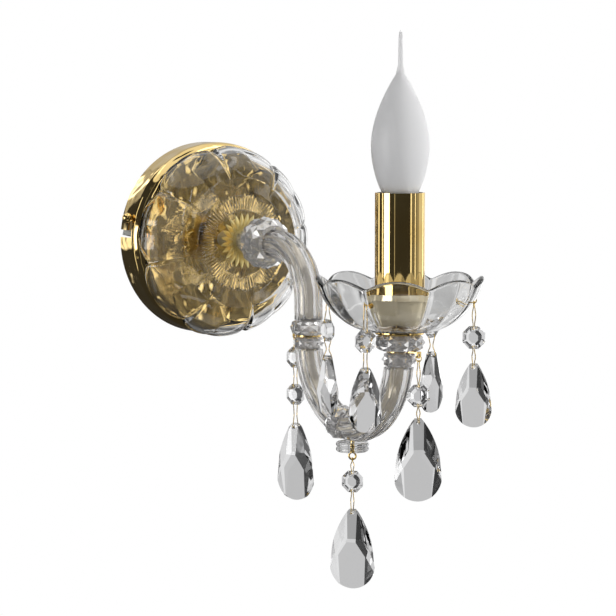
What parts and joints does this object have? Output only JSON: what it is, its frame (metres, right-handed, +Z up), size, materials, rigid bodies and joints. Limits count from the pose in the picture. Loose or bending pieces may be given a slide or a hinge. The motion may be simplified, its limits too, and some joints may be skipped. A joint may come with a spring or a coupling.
{
  "type": "crystal wall sconce",
  "caption": "Wall sconce with a glass-covered gold arm, petalled glass dishes, an electric candle and hanging crystal drops.",
  "frame": {"origin": "centre of the wall strap's back face, on the wall, in line with the arm's root", "axes": "+Z up, -Y out of the wall towards the room, +X to the right as seen from the room"},
  "size_m": [0.1394, 0.2848, 0.3447],
  "materials": {
    "polished_gold": "polished and lacquered",
    "brass_wire": "bright drawn wire",
    "clear_crystal": "clear, fire polished",
    "cut_crystal": "cut and polished facets",
    "frosted_bulb": "frosted inside",
    "plated_cap": "plated, rolled thread",
    "cap_glass": "black vitrite",
    "solder": "dull solder",
    "filament_stem": "clear stem",
    "zinc_plated": "zinc plated",
    "holder_plastic": "moulded, heat resistant",
    "terminal_plastic": "moulded",
    "wire_sheath": "silicone sleeve",
    "holder_copper": "plain pressed strip"
  },
  "bodies": {
    "root": {"wall_strap": "zinc_plated", "rim_screws": "polished_gold", "earth_screw": "zinc_plated", "terminal_block": "terminal_plastic", "canopy": "polished_gold", "root_washer": "zinc_plated", "root_nut": "zinc_plated", "glass_dish": "clear_crystal", "rosette_star": "polished_gold", "rosette_crown": "polished_gold", "root_collar": "cut_crystal", "arm_tube": "polished_gold", "supply_wires": "wire_sheath", "arm_cover_upper": "clear_crystal", "arm_cover_lower": "clear_crystal", "arm_cover_rising": "clear_crystal", "mid_collar_upper": "cut_crystal", "mid_collar_lower": "cut_crystal", "mid_pendant_ring": "brass_wire", "top_pendant_ring": "brass_wire", "bottom_collar": "cut_crystal", "top_collar_upper": "cut_crystal", "top_collar_lower": "cut_crystal", "finial_disc": "clear_crystal", "finial_eye": "polished_gold", "bobeche_support": "polished_gold", "bobeche": "clear_crystal", "candle_cup": "polished_gold", "candle_nut": "zinc_plated", "holder_leg": "zinc_plated", "holder_body": "holder_plastic", "holder_shell": "holder_copper", "holder_contact": "holder_copper"},
    "sleeve": {"candle_sleeve": "polished_gold"},
    "lamp": {"lamp_envelope": "frosted_bulb", "lamp_cap": "plated_cap", "lamp_insulator": "cap_glass", "lamp_contact": "solder", "lamp_stem": "filament_stem"},
    "right_pendant_chain": {"right_pendant_wires": "brass_wire", "right_pendant_bead": "cut_crystal"},
    "right_pendant_drop": {"right_pendant_drop": "cut_crystal"},
    "back_pendant_chain": {"back_pendant_wires": "brass_wire", "back_pendant_bead": "cut_crystal"},
    "back_pendant_drop": {"back_pendant_drop": "cut_crystal"},
    "left_pendant_chain": {"left_pendant_wires": "brass_wire", "left_pendant_bead": "cut_crystal"},
    "left_pendant_drop": {"left_pendant_drop": "cut_crystal"},
    "front_pendant_chain": {"front_pendant_wires": "brass_wire", "front_pendant_bead": "cut_crystal"},
    "front_pendant_drop": {"front_pendant_drop": "cut_crystal"},
    "collar_pendant_chain": {"collar_pendant_wires": "brass_wire", "collar_pendant_bead": "cut_crystal"},
    "collar_pendant_drop": {"collar_pendant_drop": "cut_crystal"},
    "arm_pendant_chain": {"arm_pendant_wires": "brass_wire", "arm_pendant_bead": "cut_crystal"},
    "arm_pendant_drop": {"arm_pendant_drop": "cut_crystal"},
    "finial_pendant_chain": {"finial_pendant_wires": "brass_wire", "finial_pendant_bead": "cut_crystal"},
    "finial_pendant_drop": {"finial_pendant_drop": "cut_crystal"}
  },
  "joints": [
    {"name": "sleeve_lift", "type": "slide", "parent": "root", "child": "sleeve", "axis": [0, 0, 1], "range_m": [0, 0.06]},
    {"name": "lamp_lift", "type": "slide", "parent": "sleeve", "child": "lamp", "axis": [0, 0, 1], "range_m": [0, 0.035]},
    {"name": "right_pendant_swing", "type": "hinge", "parent": "root", "child": "right_pendant_chain", "pos_m": [0.04114, -0.21028, -0.026], "axis": [0.8572, 0.515, 0], "range_deg": [-20, 20]},
    {"name": "right_pendant_drop_swing", "type": "hinge", "parent": "right_pendant_chain", "child": "right_pendant_drop", "pos_m": [0.04114, -0.21028, -0.0646], "axis": [0.2756, -0.9613, 0], "range_deg": [-20, 20]},
    {"name": "back_pendant_swing", "type": "hinge", "parent": "root", "child": "back_pendant_chain", "pos_m": [-0.02472, -0.19386, -0.026], "axis": [-0.515, 0.8572, 0], "range_deg": [-20, 20]},
    {"name": "back_pendant_drop_swing", "type": "hinge", "parent": "back_pendant_chain", "child": "back_pendant_drop", "pos_m": [-0.02472, -0.19386, -0.0646], "axis": [-0.9998, 0.0175, 0], "range_deg": [-20, 20]},
    {"name": "left_pendant_swing", "type": "hinge", "parent": "root", "child": "left_pendant_chain", "pos_m": [-0.04114, -0.25972, -0.026], "axis": [-0.8572, -0.515, 0], "range_deg": [-20, 20]},
    {"name": "left_pendant_drop_swing", "type": "hinge", "parent": "left_pendant_chain", "child": "left_pendant_drop", "pos_m": [-0.04114, -0.25972, -0.0646], "axis": [-0.0698, -0.9976, 0], "range_deg": [-20, 20]},
    {"name": "front_pendant_swing", "type": "hinge", "parent": "root", "child": "front_pendant_chain", "pos_m": [0.02472, -0.27614, -0.026], "axis": [0.515, -0.8572, 0], "range_deg": [-20, 20]},
    {"name": "front_pendant_drop_swing", "type": "hinge", "parent": "front_pendant_chain", "child": "front_pendant_drop", "pos_m": [0.02472, -0.27614, -0.0646], "axis": [-0.766, -0.6428, 0], "range_deg": [-20, 20]},
    {"name": "collar_pendant_swing", "type": "hinge", "parent": "root", "child": "collar_pendant_chain", "pos_m": [0.00424, -0.24887, -0.0585], "axis": [0.2924, -0.9563, 0], "range_deg": [-20, 20]},
    {"name": "collar_pendant_drop_swing", "type": "hinge", "parent": "collar_pendant_chain", "child": "collar_pendant_drop", "pos_m": [0.00424, -0.24887, -0.0991], "axis": [-0.4226, -0.9063, 0], "range_deg": [-20, 20]},
    {"name": "arm_pendant_swing", "type": "hinge", "parent": "root", "child": "arm_pendant_chain", "pos_m": [0, -0.1172, -0.0579], "axis": [0, 1, 0], "range_deg": [-20, 20]},
    {"name": "arm_pendant_drop_swing", "type": "hinge", "parent": "arm_pendant_chain", "child": "arm_pendant_drop", "pos_m": [0, -0.1172, -0.1173], "axis": [-0.9272, -0.3746, 0], "range_deg": [-20, 20]},
    {"name": "finial_pendant_swing", "type": "hinge", "parent": "root", "child": "finial_pendant_chain", "pos_m": [0, -0.184, -0.1272], "axis": [-0.766, -0.6428, 0], "range_deg": [-20, 20]},
    {"name": "finial_pendant_drop_swing", "type": "hinge", "parent": "finial_pendant_chain", "child": "finial_pendant_drop", "pos_m": [0, -0.184, -0.1633], "axis": [-0.766, -0.6428, 0], "range_deg": [-20, 20]}
  ]
}
